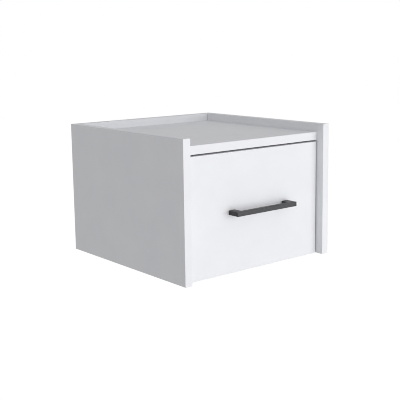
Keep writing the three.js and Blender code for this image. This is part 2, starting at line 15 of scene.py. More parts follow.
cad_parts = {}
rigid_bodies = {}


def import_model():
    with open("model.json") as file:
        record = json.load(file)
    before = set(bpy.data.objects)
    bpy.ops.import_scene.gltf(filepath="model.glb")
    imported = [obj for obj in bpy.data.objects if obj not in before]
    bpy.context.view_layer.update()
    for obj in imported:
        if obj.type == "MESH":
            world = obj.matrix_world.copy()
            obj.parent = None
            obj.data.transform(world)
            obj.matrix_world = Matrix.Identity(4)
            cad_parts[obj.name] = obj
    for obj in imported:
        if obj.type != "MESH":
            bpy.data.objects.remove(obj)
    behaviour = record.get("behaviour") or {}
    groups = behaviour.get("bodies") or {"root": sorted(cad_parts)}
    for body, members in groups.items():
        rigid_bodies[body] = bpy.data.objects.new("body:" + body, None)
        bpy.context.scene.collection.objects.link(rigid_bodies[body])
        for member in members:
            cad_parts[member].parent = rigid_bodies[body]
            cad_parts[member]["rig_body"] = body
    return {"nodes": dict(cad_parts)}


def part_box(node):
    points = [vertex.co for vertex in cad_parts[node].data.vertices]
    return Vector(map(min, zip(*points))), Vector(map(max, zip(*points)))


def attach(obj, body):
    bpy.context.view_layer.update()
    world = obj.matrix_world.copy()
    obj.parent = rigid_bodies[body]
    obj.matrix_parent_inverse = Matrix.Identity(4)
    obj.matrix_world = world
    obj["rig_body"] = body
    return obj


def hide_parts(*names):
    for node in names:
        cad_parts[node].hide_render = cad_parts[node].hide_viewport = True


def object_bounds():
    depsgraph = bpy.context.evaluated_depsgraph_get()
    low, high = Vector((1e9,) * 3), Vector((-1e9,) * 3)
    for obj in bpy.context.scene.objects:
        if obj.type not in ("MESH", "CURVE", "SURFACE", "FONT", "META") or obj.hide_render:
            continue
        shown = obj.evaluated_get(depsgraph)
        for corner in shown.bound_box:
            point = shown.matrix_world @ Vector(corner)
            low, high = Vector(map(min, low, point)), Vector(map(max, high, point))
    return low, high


bl_info = {
    "name": "Floating Nightstand",
    "version": (1, 0, 0),
    "blender": (4, 5, 0),
    "location": "3D View > Sidebar > Nightstand",
    "description": "Builds a wall-hung nightstand with one drawer, its fittings and a studio",
    "category": "Add Mesh",
}

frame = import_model()
cad_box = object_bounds()

MM = 0.001
SIDES = (("left", -1), ("right", 1))
RIGHT, BACK, UP = AXES = (Vector((1, 0, 0)), Vector((0, 1, 0)), Vector((0, 0, 1)))

BOARDS = (
    "left_side_panel",
    "right_side_panel",
    "top_panel",
    "bottom_panel",
    "back_panel",
    "drawer_front",
    "drawer_left_side",
    "drawer_right_side",
    "drawer_back",
)

# Gaps, runs, angles and counts that many pieces share.
FIT_GAP = 0.3 * MM
BORE_CLEARANCE = 0.4 * MM
PILOT_CLEARANCE = 0.2 * MM
OVERRUN = 2 * MM
WELD = 0.001 * MM
SHARP_ANGLE = math.radians(32)
ROUND_SIDES = 48
SCREW_SIDES = 32
# A direction runs mostly along an axis if its part along it is more than this.
MOSTLY = 0.5

# Cam fittings: the large ones join the case, and the small ones hold the drawer front. Head, neck and shank
# are the bolt's, the bore is the board's and the cross is as wide as the recess in the cam.
CASE_CAM = {"head": 7 * MM, "neck": 4 * MM, "shank": 6 * MM, "bore": 15 * MM, "cross": 8 * MM}
DRAWER_CAM = {"head": 5 * MM, "neck": 3 * MM, "shank": 5 * MM, "bore": 12 * MM, "cross": 6.5 * MM}
CAM_CROSS_WIDTH = 1.7 * MM
CAM_CROSS_DEPTH = 1.9 * MM
CAM_EDGE = 0.35 * MM
CAM_EDGE_STEPS = 2
BOLT_THREAD = 10 * MM
BOLT_THREAD_DEPTH = 0.7 * MM
BOLT_PITCH = 2 * MM
BOLT_CROWN_SHARE = 0.8

# Wall holes, countersunk from inside the case.
WALL_HOLE_SPACING = 160 * MM
WALL_HOLE_DIAMETER = 6 * MM
WALL_SINK_DIAMETER = 11 * MM
WALL_SINK_DEPTH = 3 * MM
WALL_HOLE_OFFSET = 32 * MM

# Holes in the rails, in rows that are counted from a rail's front end.
SCREW_ROWS = (37 * MM, 165 * MM, 261 * MM)
SLOT_ROWS = (69 * MM, 229 * MM)
SLOT_LENGTH = 9 * MM
SLOT_WIDTH = 4.5 * MM
ACCESS_HOLE = 9 * MM

# Screws: the diameters of shank, core and head, the height of the head and the pitch of the thread.
RAIL_SCREW = {"shank": 3.5 * MM, "core": 2.8 * MM, "head": 7 * MM, "rise": 1.3 * MM, "pitch": 1.4 * MM}
RAIL_SCREW_LENGTH = 10 * MM
RAIL_SCREW_STAND = 0.15 * MM
BOX_SCREW = {"shank": 4 * MM, "core": 3.3 * MM, "head": 8 * MM, "rise": 2.4 * MM, "pitch": 1.8 * MM}
BOX_SCREW_LENGTH = 35 * MM
HANDLE_SCREW = {"shank": 4 * MM, "core": 3.5 * MM, "head": 8 * MM, "rise": 2.4 * MM, "pitch": 0.7 * MM}
HANDLE_SCREW_GRIP = 9 * MM
SCREW_POINT = 0.6 * MM
POINT_SHARE = 0.33
SCREW_NECK = 0.5 * MM
DOME_STEPS = 5
DOME_SHARE = 0.45
THREAD_STEPS = 16
THREAD_BASE_SHARE = 0.84
THREAD_ROOT_SHARE = 0.94
RECESS_LENGTH_SHARE = 0.62
RECESS_WIDTH_SHARE = 0.15
RECESS_DEPTH_SHARE = 0.75
CROSS_TAPER_SHARE = 0.55

# The drawer's bottom, and the groove that it slides into.
GROOVE_CLEARANCE = 0.4 * MM
HARDBOARD_EDGE = 0.3 * MM

# The section of a slide, counted from the face of the cabinet rail that lies on the side panel.
SLIDE_STACK = 12.1 * MM
SHEET = 1.2 * MM
CAGE_SHEET = 0.6 * MM
CAGE_EDGE = 0.1 * MM
WEB_GAP = 0.45 * MM
BEND = 1 * MM
CAGE_BEND = 0.8 * MM
RACE_ANGLE = math.radians(60)
# An edge that turns by more than this is where the sheet was cut, and not a bend.
CUT_ANGLE = math.radians(60)
SQUARE_BEND_STEPS = 5
SHARP_BEND_STEPS = 6
RACE_STEPS = 12
HALF_RACE_STEPS = 6

# The balls and the windows of their cages. A ball's steps are its rings and its sides.
OUTER_BALL = 4 * MM
INNER_BALL = 3.2 * MM
BALL_CLEARANCE = 0.15 * MM
BALL_PITCH = 22 * MM
BALLS_A_ROW = 6
BALL_STEPS = (14, 24)
WINDOW_CLEARANCE = 0.1 * MM
WINDOW_STEPS = (12, 20)
CAGE_REACH_SHARE = 0.6

# The width of the camera's sensor, in millimetres.
SENSOR_WIDTH = 36


def linear(code):
    """The linear colour of an sRGB hex code."""
    parts = [int(code[i : i + 2], 16) / 255 for i in (1, 3, 5)]
    return [p / 12.92 if p <= 0.04045 else ((p + 0.055) / 1.055) ** 2.4 for p in parts]


def colour_setting(name, description, code):
    return FloatVectorProperty(
        name=name, description=description, subtype="COLOR", size=3, min=0, max=1, default=linear(code)
    )


def length_setting(name, description, default):
    return FloatProperty(name=name, description=description, default=default, min=0, unit="LENGTH")


def place_setting(name, description, default):
    return FloatVectorProperty(name=name, description=description, default=default, size=3, unit="LENGTH")


def angle_setting(name, description, degrees):
    return FloatProperty(name=name, description=description, default=math.radians(degrees), unit="ROTATION")


def strength_setting(name, description, default):
    return FloatProperty(name=name, description=description, default=default, min=0)


class NightstandSizes(bpy.types.PropertyGroup):
    """Sizes of the pieces that a maker would change."""

    edge: length_setting("Board edge", "Radius of the boards' eased edges", 0.6 * MM)
    edge_steps: IntProperty(name="Edge steps", description="Segments across an eased edge", default=3, min=1)
    bar: length_setting("Handle bar", "Thickness of the handle's bar, from front to back", 8 * MM)
    leg: length_setting("Handle leg", "Width of each leg of the handle", 14 * MM)
    handle_edge: length_setting("Handle edge", "Radius of the handle's edges", 0.55 * MM)
    sheet_edge: length_setting("Sheet edge", "Radius of the edges of the bent steel", 0.15 * MM)


class NightstandFinishes(bpy.types.PropertyGroup):
    """Colours of the finishes."""

    lacquer: colour_setting("Lacquer", "White satin lacquer on the boards", "#EDEEF1")
    lacquer_shade: colour_setting("Lacquer shade", "The lacquer where it lies a little thinner", "#EAEBEF")
    fibre: colour_setting("Fibreboard", "Bare fibreboard inside bores and grooves", "#B79B74")
    fibre_dark: colour_setting("Fibreboard fleck", "Darker fibres in the bare board", "#96794F")
    hardboard: colour_setting("Hardboard", "White painted hardboard", "#E6E6E4")
    # Painted shade: the hardboard drawn darker by the same pattern that makes its dimples.
    hardboard_painted_shade: colour_setting("Hardboard shade", "The hardboard in its shallow dimples", "#DCDCD9")
    powder: colour_setting("Powder coat", "Grey powder coat on the handle", "#37383B")
    # Painted shade: the powder coat drawn darker between its grains, where its relief sinks.
    powder_painted_shade: colour_setting("Powder coat shade", "The powder coat between its grains", "#303134")
    zinc: colour_setting("Zinc plate", "Bright zinc on steel", "#C0C2C4")
    zinc_shade: colour_setting("Zinc plate shade", "Duller patches of the zinc", "#B4B6B9")
    casting: colour_setting("Zinc casting", "Raw die-cast zinc", "#A3A5A8")
    casting_shade: colour_setting("Zinc casting shade", "Darker flow marks in the casting", "#8E9195")
    steel: colour_setting("Bearing steel", "Polished balls", "#C4C6C9")


class NightstandStudio(bpy.types.PropertyGroup):
    """The camera, the lamps and the floor."""

    place: place_setting("Camera place", "Where the camera stands", (-969.2 * MM, -1390.3 * MM, 277.2 * MM))
    yaw: angle_setting("Yaw", "Turn to the right", 39.376)
    pitch: angle_setting("Pitch", "Tilt down", 9.567)
    roll: angle_setting("Roll", "Lean to the left", -0.705)
    lens: FloatProperty(name="Lens", description="Focal length", default=74.759, min=1, unit="CAMERA")
    shift_x: FloatProperty(name="Shift right", description="Share of the frame's width", default=-0.025)
    shift_y: FloatProperty(name="Shift up", description="Share of the frame's width", default=-0.05)
    horizon: strength_setting("Horizon", "Daylight from the sides", 0.58)
    zenith: strength_setting("Zenith", "Daylight from straight above", 0.425)
    key_power: FloatProperty(
        name="Key lamp", description="Power of the soft lamp in front", default=171, min=0, unit="POWER"
    )
    key_width: length_setting("Key lamp width", "Width of the soft lamp", 6.8)
    key_height: length_setting("Key lamp height", "Height of the soft lamp", 3.6)
    key_place: place_setting("Key lamp place", "Where the soft lamp hangs", (1.2, -5.2, 0))
    drop: length_setting("Drop to the floor", "From the underside of the case to the floor", 1.7)
    floor_side: length_setting("Floor side", "Length of each side of the floor", 40)
    floor: colour_setting("Floor", "Pale studio floor", "#D6D6D6")
    floor_lift: strength_setting("Floor lift", "Light that the floor adds to its own", 0.66)


# Materials

# A mix node has a set of like-named sockets for each kind of value. These are the numbers of the colour ones.
MIX_A = 6
MIX_B = 7
MIX_RESULT = 2


def add_node(tree, kind, settings=None, inputs=None):
    """Adds a node. Each input, by name or number, is given a value or another node's socket."""
    node = tree.nodes.new(kind)
    for name, value in (settings or {}).items():
        setattr(node, name, value)
    for name, value in (inputs or {}).items():
        if isinstance(value, bpy.types.NodeSocket):
            tree.links.new(value, node.inputs[name])
        else:
            node.inputs[name].default_value = value
    return node


def opaque(rgb):
    return (*rgb, 1)


def finish(name, inputs):
    """A new material, with its shader's own sockets set, as the material, its node tree and its shader."""
    surface = bpy.data.materials.new(name)
    surface.use_nodes = True
    tree = surface.node_tree
    shader = tree.nodes["Principled BSDF"]
    for socket, value in inputs.items():
        shader.inputs[socket].default_value = value
    return surface, tree, shader


def grain(tree, size, squeeze=(1, 1, 1), detail=2, roughness=0.5):
    """Noise with grains of a real size. A squeeze over 1 flattens them, and one under 1 draws them out."""
    place = add_node(tree, "ShaderNodeTexCoord").outputs["Object"]
    squeezed = add_node(tree, "ShaderNodeMapping", inputs={"Vector": place, "Scale": squeeze})
    inputs = {"Vector": squeezed.outputs[0], "Scale": 1 / size, "Detail": detail, "Roughness": roughness}
    return add_node(tree, "ShaderNodeTexNoise", inputs=inputs).outputs["Fac"]


# Nearly all of a noise lies between these.
NOISE_RANGE = {"From Min": 0.3, "From Max": 0.7}


def vary(tree, shader, colour, roughness, relief=None):
    """Lets patterns vary a shader's colour, roughness and relief.

    The colour's pattern comes with the two colours that it runs between, the roughness's with how far it
    swings either way from the shader's own value, and the relief's with its real depth.
    """
    pattern, first, second = colour
    share = add_node(tree, "ShaderNodeMapRange", inputs={"Value": pattern, **NOISE_RANGE}).outputs["Result"]
    inputs = {"Factor": share, MIX_A: opaque(first), MIX_B: opaque(second)}
    mixed = add_node(tree, "ShaderNodeMix", {"data_type": "RGBA"}, inputs)
    tree.links.new(mixed.outputs[MIX_RESULT], shader.inputs["Base Color"])

    pattern, swing = roughness
    socket = shader.inputs["Roughness"]
    middle = socket.default_value
    inputs = {"Value": pattern, **NOISE_RANGE, "To Min": middle - swing, "To Max": middle + swing}
    tree.links.new(add_node(tree, "ShaderNodeMapRange", inputs=inputs).outputs["Result"], socket)

    if relief:
        pattern, depth = relief
        bump = add_node(tree, "ShaderNodeBump", inputs={"Height": pattern, "Distance": depth})
        tree.links.new(bump.outputs["Normal"], shader.inputs["Normal"])


def satin_lacquer(finishes):
    """Sprayed satin lacquer: close to flat white, with a faint orange peel that softens what it reflects."""
    surface, tree, shader = finish("white_satin_lacquer", {"IOR": 1.5, "Roughness": 0.61})
    mottle = grain(tree, 55 * MM, detail=3)
    sheen = grain(tree, 9 * MM, detail=4)
    orange_peel = grain(tree, 1.8 * MM, detail=1)
    vary(
        tree,
        shader,
        colour=(mottle, finishes.lacquer, finishes.lacquer_shade),
        roughness=(sheen, 0.05),
        relief=(orange_peel, 0.012 * MM),
    )
    return surface


def bare_fibreboard(finishes):
    """Cut fibreboard inside bores and grooves: tan, dull, with short fibres pressed flat."""
    surface, tree, shader = finish("bare_fibreboard", {"IOR": 1.45, "Roughness": 0.885})
    fibres = grain(tree, 0.9 * MM, squeeze=(1, 1, 2.5), detail=5, roughness=0.65)
    vary(
        tree,
        shader,
        colour=(fibres, finishes.fibre, finishes.fibre_dark),
        roughness=(fibres, 0.065),
        relief=(fibres, 0.08 * MM),
    )
    return surface


def painted_hardboard(finishes):
    """Thin hardboard with a rolled coat of white paint: fine dimples and an uneven, dull sheen."""
    surface, tree, shader = finish("white_painted_hardboard", {"IOR": 1.48, "Roughness": 0.62})
    dimples = grain(tree, 1.1 * MM, detail=3)
    sheen = grain(tree, 14 * MM)
    # The colour runs to a painted shade by the same pattern as the dimples' relief.
    vary(
        tree,
        shader,
        colour=(dimples, finishes.hardboard, finishes.hardboard_painted_shade),
        roughness=(sheen, 0.06),
        relief=(dimples, 0.03 * MM),
    )
    return surface


def powder_coat(finishes):
    """Baked powder coat on cast zinc: dark grey and dry, with a grain a little under half a millimetre."""
    surface, tree, shader = finish("dark_grey_powder_coat", {"IOR": 1.5, "Roughness": 0.49, "Metallic": 0.25})
    grit = grain(tree, 0.45 * MM)
    sheen = grain(tree, 5 * MM)
    # The colour runs to a painted shade between the grains, where the grit relief is low.
    vary(
        tree,
        shader,
        colour=(grit, finishes.powder_painted_shade, finishes.powder),
        roughness=(sheen, 0.07),
        relief=(grit, 0.02 * MM),
    )
    return surface


def zinc_plate(finishes):
    """Bright zinc on rolled steel: cool and shiny, with faint dull patches and streaks along the rolling.

    Real streaks are finer than these, and wouldn't show.
    """
    surface, tree, shader = finish("zinc_plated_steel", {"Metallic": 1, "Roughness": 0.32})
    patches = grain(tree, 12 * MM, squeeze=(1, 0.5, 1))
    streaks = grain(tree, 0.8 * MM, squeeze=(1, 0.04, 1), detail=3)
    vary(
        tree,
        shader,
        colour=(patches, finishes.zinc, finishes.zinc_shade),
        roughness=(streaks, 0.08),
        relief=(streaks, 0.003 * MM),
    )
    return surface


def zinc_casting(finishes):
    """Tumbled die-cast zinc: grey and dull, with flow marks and a fine pitted skin."""
    surface, tree, shader = finish("die_cast_zinc", {"Metallic": 1, "Roughness": 0.51})
    flow = grain(tree, 3 * MM, detail=4)
    pits = grain(tree, 0.5 * MM, detail=3)
    vary(
        tree,
        shader,
        colour=(flow, finishes.casting, finishes.casting_shade),
        roughness=(flow, 0.09),
        relief=(pits, 0.03 * MM),
    )
    return surface


def bearing_steel(finishes):
    """Ground and polished ball steel, under a thin smear of grease that dulls it in patches."""
    surface, tree, shader = finish("polished_ball_steel", {"Metallic": 1, "Roughness": 0.14})
    smear = grain(tree, 1.5 * MM)
    vary(tree, shader, colour=(smear, finishes.steel, finishes.zinc_shade), roughness=(smear, 0.08))
    return surface


MAKERS = {
    "lacquer": satin_lacquer,
    "fibre": bare_fibreboard,
    "hardboard": painted_hardboard,
    "powder": powder_coat,
    "zinc": zinc_plate,
    "casting": zinc_casting,
    "balls": bearing_steel,
}
made_materials = {}


def material(context, name):
    """A finish of this nightstand, made once."""
    if name not in made_materials:
        made_materials[name] = MAKERS[name](context.scene.nightstand_finishes)
    return made_materials[name]


# Shapes


def cuboid(low, high):
    """A plain box between two corners."""
    shape = bmesh.new()
    bmesh.ops.create_cube(shape, size=1)
    bmesh.ops.scale(shape, vec=high - low, verts=shape.verts)
    bmesh.ops.translate(shape, vec=(low + high) / 2, verts=shape.verts)
    return shape


def ease(shape, radius, steps, edges=None):
    """Rounds off the given edges, or all of them."""
    bmesh.ops.bevel(
        shape,
        geom=edges or shape.edges[:],
        offset=radius,
        affect="EDGES",
        segments=steps,
        profile=0.5,
        material=-1,
        clamp_overlap=True,
    )


def cylinder(start, end, radius, sides=ROUND_SIDES):
    """A closed cylinder from one point to another."""
    shape = bmesh.new()
    line = end - start
    turn = line.to_track_quat("Z", "Y").to_matrix().to_4x4()
    bmesh.ops.create_cone(
        shape,
        cap_ends=True,
        segments=sides,
        radius1=radius,
        radius2=radius,
        depth=line.length,
        matrix=Matrix.Translation((start + end) / 2) @ turn,
    )
    return shape


def merge(shapes):
    """One bmesh that holds all the shapes, which are freed."""
    whole = bmesh.new()
    for shape in shapes:
        part = bpy.data.meshes.new("part")
        shape.to_mesh(part)
        shape.free()
        whole.from_mesh(part)
        bpy.data.meshes.remove(part)
    return whole


def turned(profile, sides=SCREW_SIDES):
    """Spins a profile of (radius, place) points round the X axis. It starts and ends on the axis."""
    shape = bmesh.new()
    points = [shape.verts.new((place, radius, 0)) for radius, place in profile]
    edges = [shape.edges.new(pair) for pair in zip(points, points[1:])]
    bmesh.ops.spin(
        shape,
        geom=points + edges,
        cent=(0, 0, 0),
        axis=RIGHT,
        angle=2 * math.pi,
        steps=sides,
        use_merge=True,
    )
    bmesh.ops.remove_doubles(shape, verts=shape.verts, dist=WELD)
    bmesh.ops.recalc_face_normals(shape, faces=shape.faces)
    return shape


def thread(start, end, size):
    """A closed helical ridge on a shank along X. Its root is sunk a little into the shank's core."""
    shape = bmesh.new()
    half = size["pitch"] * THREAD_BASE_SHARE / 2
    root = size["core"] / 2 * THREAD_ROOT_SHARE
    points = [
        shape.verts.new((start - half, root, 0)),
        shape.verts.new((start, size["shank"] / 2, 0)),
        shape.verts.new((start + half, root, 0)),
    ]
    first = shape.faces.new(points)
    turns = (end - start) / size["pitch"]
    steps = round(turns * THREAD_STEPS)
    bmesh.ops.spin(
        shape,
        geom=[first],
        cent=(0, 0, 0),
        axis=RIGHT,
        dvec=((end - start) / steps, 0, 0),
        angle=2 * math.pi * turns,
        steps=steps,
    )
    bmesh.ops.recalc_face_normals(shape, faces=shape.faces)
    return shape


def cross_tool(size, width, depth):
    """A tool for a driver's cross recess, in a face across the X axis at zero. It narrows as it goes in."""
    shape = cuboid(Vector((-depth, -width / 2, -width / 2)), Vector((OVERRUN, width / 2, width / 2)))
    arms = [face for face in shape.faces if abs(face.normal.x) < MOSTLY]
    for face in bmesh.ops.extrude_discrete_faces(shape, faces=arms)["faces"]:
        bmesh.ops.translate(shape, vec=face.normal * (size - width) / 2, verts=face.verts)
    bottom = [vert for vert in shape.verts if vert.co.x < 0]
    bmesh.ops.scale(shape, vec=(1, CROSS_TAPER_SHARE, CROSS_TAPER_SHARE), verts=bottom)
    bmesh.ops.recalc_face_normals(shape, faces=shape.faces)
    return shape


def placed(shape, matrix):
    """The same shape, moved by a matrix, with its faces still outward where the matrix mirrors."""
    bmesh.ops.transform(shape, matrix=matrix, verts=shape.verts)
    if matrix.determinant() < 0:
        bmesh.ops.reverse_faces(shape, faces=shape.faces)
    return shape


def axes_matrix(x, y, z, origin):
    """The matrix of a frame, from its three axes and its origin."""
    matrix = Matrix((x, y, z)).transposed().to_4x4()
    matrix.translation = origin
    return matrix


def screw_matrix(spot, way):
    """Puts a screw's head at a spot, with its shank running one way.

    The screw is drawn along X, with its head's top at zero and its tip at minus X.
    """
    out = -way
    side = UP if abs(out.z) < MOSTLY else RIGHT
    return axes_matrix(out, side.cross(out), side, spot)


def sunk_bore(spot, way, hole, mouth, depth, run):
    """A tool for a countersunk hole, in one turned piece. The radii are the hole's and its mouth's."""
    flare = (mouth - hole) / depth * OVERRUN
    profile = [(0, -run), (hole, -run), (hole, -depth), (mouth + flare, OVERRUN), (0, OVERRUN)]
    return placed(turned(profile, ROUND_SIDES), screw_matrix(spot, way))


# Pieces


def to_object(shape, name, materials):
    """Makes an object of a bmesh, which is freed."""
    mesh = bpy.data.meshes.new(name)
    shape.to_mesh(mesh)
    shape.free()
    for item in materials:
        mesh.materials.append(item)
    piece = bpy.data.objects.new(name, mesh)
    bpy.context.scene.collection.objects.link(piece)
    return piece


def move_mesh(piece, matrix):
    """Moves a piece's mesh by a matrix, with its faces still outward where the matrix mirrors."""
    piece.data.transform(matrix)
    if matrix.determinant() < 0:
        piece.data.flip_normals()


def apply_modifiers(piece):
    """Puts the shape that a piece's modifiers make in its mesh."""
    bpy.context.view_layer.update()
    seen = piece.evaluated_get(bpy.context.evaluated_depsgraph_get())
    mesh = bpy.data.meshes.new_from_object(seen)
    piece.modifiers.clear()
    old = piece.data
    piece.data = mesh
    bpy.data.meshes.remove(old)


def cut(piece, tools, inside):
    """Cuts the tools out of a piece. The cut faces take the inside material."""
    cutters = []
    for i, shape in enumerate(tools):
        tool = to_object(shape, f"tool_{i}", [inside])
        modifier = piece.modifiers.new(f"cut_{i}", "BOOLEAN")
        modifier.object = tool
        modifier.solver = "EXACT"
        modifier.material_mode = "TRANSFER"
        cutters.append(tool)
    apply_modifiers(piece)
    for tool in cutters:
        mesh = tool.data
        bpy.data.objects.remove(tool)
        bpy.data.meshes.remove(mesh)


def dress(piece, body, slot_name, *nodes):
    """Shades a finished piece smooth between its sharp edges and gives it its place in the frame."""
    shape = bmesh.new()
    shape.from_mesh(piece.data)
    for face in shape.faces:
        face.smooth = True
    for edge in shape.edges:
        edge.smooth = len(edge.link_faces) == 2 and edge.calc_face_angle() < SHARP_ANGLE
    shape.to_mesh(piece.data)
    shape.free()
    facing = piece.modifiers.new("facing", "WEIGHTED_NORMAL")
    facing.keep_sharp = True
    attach(piece, body)
    if nodes:
        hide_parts(*nodes)


def body_of(node):
    return frame["nodes"][node]["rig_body"]


def middle_of(node):
    low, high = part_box(node)
    return (low + high) / 2


def overlap(low, high, other_low, other_high):
    return all(low[i] < other_high[i] and other_low[i] < high[i] for i in range(3))


def shape_box(shape):
    spots = [v.co for v in shape.verts]
    low = Vector([min(spot[i] for spot in spots) for i in range(3)])
    high = Vector([max(spot[i] for spot in spots) for i in range(3)])
    return low, high


# Cam joints


def cam_joint(name):
    """A cam joint read from its two CAD boxes: the matrix of its own frame, and where its drum and bolt end.

    The origin of its frame is where the bolt's axis meets the cam's. X runs along the bolt, and Z out of
    the face that shows the cam.
    """
    cam_low, cam_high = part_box(name + "_cam")
    bolt_low, bolt_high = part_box(name + "_cam_bolt")
    cam_size = cam_high - cam_low
    bolt_size = bolt_high - bolt_low
    cam_middle = middle_of(name + "_cam")
    bolt_middle = middle_of(name + "_cam_bolt")
    along = max(range(3), key=lambda i: bolt_size[i])
    out = min(range(3), key=lambda i: cam_size[i])
    origin = cam_middle.copy()
    origin[out] = bolt_middle[out]
    toward = AXES[along] * math.copysign(1, (bolt_middle - cam_middle)[along])
    face = AXES[out] * math.copysign(1, (cam_middle - bolt_middle)[out])
    matrix = axes_matrix(toward, face.cross(toward), face, origin)
    back = matrix.inverted()
    ends = [back @ cam_low, back @ cam_high]
    bolt_ends = [back @ bolt_low, back @ bolt_high]
    return {
        "name": name,
        "matrix": matrix,
        "radius": cam_size[along] / 2,
        "low": min(end.z for end in ends),
        "high": max(end.z for end in ends),
        "tip": max(end.x for end in bolt_ends),
        "size": DRAWER_CAM if name.startswith("drawer") else CASE_CAM,
    }


def cam_joints():
    return [cam_joint(node[: -len("_cam")]) for node in sorted(frame["nodes"]) if node.endswith("_cam")]


def cam_housing(joint):
    """A tool for the bore that a cam sits in."""
    size = joint["size"]
    low = (joint["low"] - FIT_GAP) * UP
    high = (joint["high"] + OVERRUN) * UP
    return placed(cylinder(low, high, size["bore"] / 2), joint["matrix"])


def bolt_bore(joint):
    """A tool for the bore that a cam's bolt runs in, through both boards."""
    radius = joint["size"]["shank"] / 2 + BORE_CLEARANCE
    end = (joint["tip"] + FIT_GAP) * RIGHT
    return placed(cylinder(Vector(), end, radius), joint["matrix"])


# Board cutting tools


def slide_level():
    return middle_of("left_middle_rail").z


def rail_front():
    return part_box("left_middle_rail")[0].y


def side_faces(side):
    """Where the two faces that carry a slide stand: the side panel's and the drawer side's."""
    name = "left" if side < 0 else "right"
    panel_low, panel_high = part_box(f"{name}_side_panel")
    board_low, board_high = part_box(f"drawer_{name}_side")
    if side < 0:
        return panel_high.x, board_low.x
    return panel_low.x, board_high.x


def rail_pilots():
    """Tools for the rail screws' pilot bores, in the side panels and the drawer's sides."""
    tools = []
    radius = RAIL_SCREW["shank"] / 2 + PILOT_CLEARANCE
    for _, side in SIDES:
        for face, way in zip(side_faces(side), (side, -side)):
            line = way * RIGHT
            for row in SCREW_ROWS:
                spot = Vector((face, rail_front() + row, slide_level()))
                end = spot + line * (RAIL_SCREW_LENGTH + FIT_GAP)
                tools.append(cylinder(spot - line * OVERRUN, end, radius, sides=SCREW_SIDES))
    return tools


def wall_holes():
    """Tools for the back panel's countersunk holes, which the wall screws go through."""
    low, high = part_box("back_panel")
    levels = (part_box("top_panel")[0].z - WALL_HOLE_OFFSET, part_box("bottom_panel")[1].z + WALL_HOLE_OFFSET)
    hole = WALL_HOLE_DIAMETER / 2
    mouth = WALL_SINK_DIAMETER / 2
    run = high.y - low.y + OVERRUN
    spots = [Vector((side * WALL_HOLE_SPACING / 2, low.y, level)) for level in levels for _, side in SIDES]
    return [sunk_bore(spot, BACK, hole, mouth, WALL_SINK_DEPTH, run) for spot in spots]


def box_screw_lines():
    """Each box screw as its node, its head's place in the side's face and the way that its shank runs."""
    lines = []
    for name, side in SIDES:
        face = side_faces(side)[1]
        for height in ("lower", "upper"):
            node = f"{name}_{height}_box_screw"
            middle = middle_of(node)
            lines.append((node, Vector((face, middle.y, middle.z)), -side * RIGHT))
    return lines


def box_screw_bores():
    """Tools for the countersunk bores through the drawer's sides into its back."""
    hole = BOX_SCREW["shank"] / 2 + PILOT_CLEARANCE
    mouth = BOX_SCREW["head"] / 2 + PILOT_CLEARANCE
    depth = BOX_SCREW["rise"] + FIT_GAP
    run = BOX_SCREW_LENGTH + FIT_GAP
    return [sunk_bore(spot, way, hole, mouth, depth, run) for _, spot, way in box_screw_lines()]


def handle_screw_spots():
    """Where the handle's two screws go in, on the back of the drawer front."""
    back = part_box("drawer_front")[1].y
    middles = [middle_of(f"{name}_handle_screw") for name, _ in SIDES]
    return [Vector((middle.x, back, middle.z)) for middle in middles]


def handle_bores():
    """Tools for the bores through the drawer front."""
    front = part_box("drawer_front")[0].y - OVERRUN
    radius = HANDLE_SCREW["shank"] / 2 + BORE_CLEARANCE
    tools = []
    for spot in handle_screw_spots():
        start = Vector((spot.x, front, spot.z))
        tools.append(cylinder(start, spot + BACK * OVERRUN, radius, sides=SCREW_SIDES))
    return tools


def bottom_groove():
    """A tool for the groove all round the drawer's bottom."""
    low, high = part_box("drawer_bottom")
    room = Vector((GROOVE_CLEARANCE,) * 3)
    return cuboid(low - room, high + room)


def board_tools():
    """Every tool that cuts a board. Tools in one layer don't touch each other."""
    joints = cam_joints()
    holes = [*rail_pilots(), *handle_bores(), *wall_holes(), *box_screw_bores()]
    return [
        [cam_housing(joint) for joint in joints] + holes,
        [bolt_bore(joint) for joint in joints],
        [bottom_groove()],
    ]


def add_board(context, node, layers):
    """A lacquered board with eased edges, its bores and its grooves."""
    sizes = context.scene.nightstand_sizes
    low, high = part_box(node)
    shape = cuboid(low, high)
    ease(shape, sizes.edge, sizes.edge_steps)
    piece = to_object(shape, f"{node}_finished", [material(context, "lacquer")])
    tools = []
    for layer in layers:
        near = [tool.copy() for tool in layer if overlap(low, high, *shape_box(tool))]
        if near:
            tools.append(merge(near))
    cut(piece, tools, material(context, "fibre"))
    dress(piece, body_of(node), "white_lacquer", node)


class NIGHTSTAND_OT_boards(bpy.types.Operator):
    """Builds the five boards of the case and the four of the drawer"""

    bl_idname = "nightstand.boards"
    bl_label = "Boards"

    def execute(self, context):
        layers = board_tools()
        for node in BOARDS:
            add_board(context, node, layers)
        for layer in layers:
            for tool in layer:
                tool.free()
        return {"FINISHED"}


class NIGHTSTAND_OT_drawer_bottom(bpy.types.Operator):
    """Builds the thin hardboard that slides into the drawer's groove"""

    bl_idname = "nightstand.drawer_bottom"
    bl_label = "Drawer bottom"

    def execute(self, context):
        low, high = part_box("drawer_bottom")
        shape = cuboid(low, high)
        ease(shape, HARDBOARD_EDGE, steps=1)
        piece = to_object(shape, "drawer_bottom_finished", [material(context, "hardboard")])
        dress(piece, body_of("drawer_bottom"), "white_hardboard", "drawer_bottom")
        return {"FINISHED"}


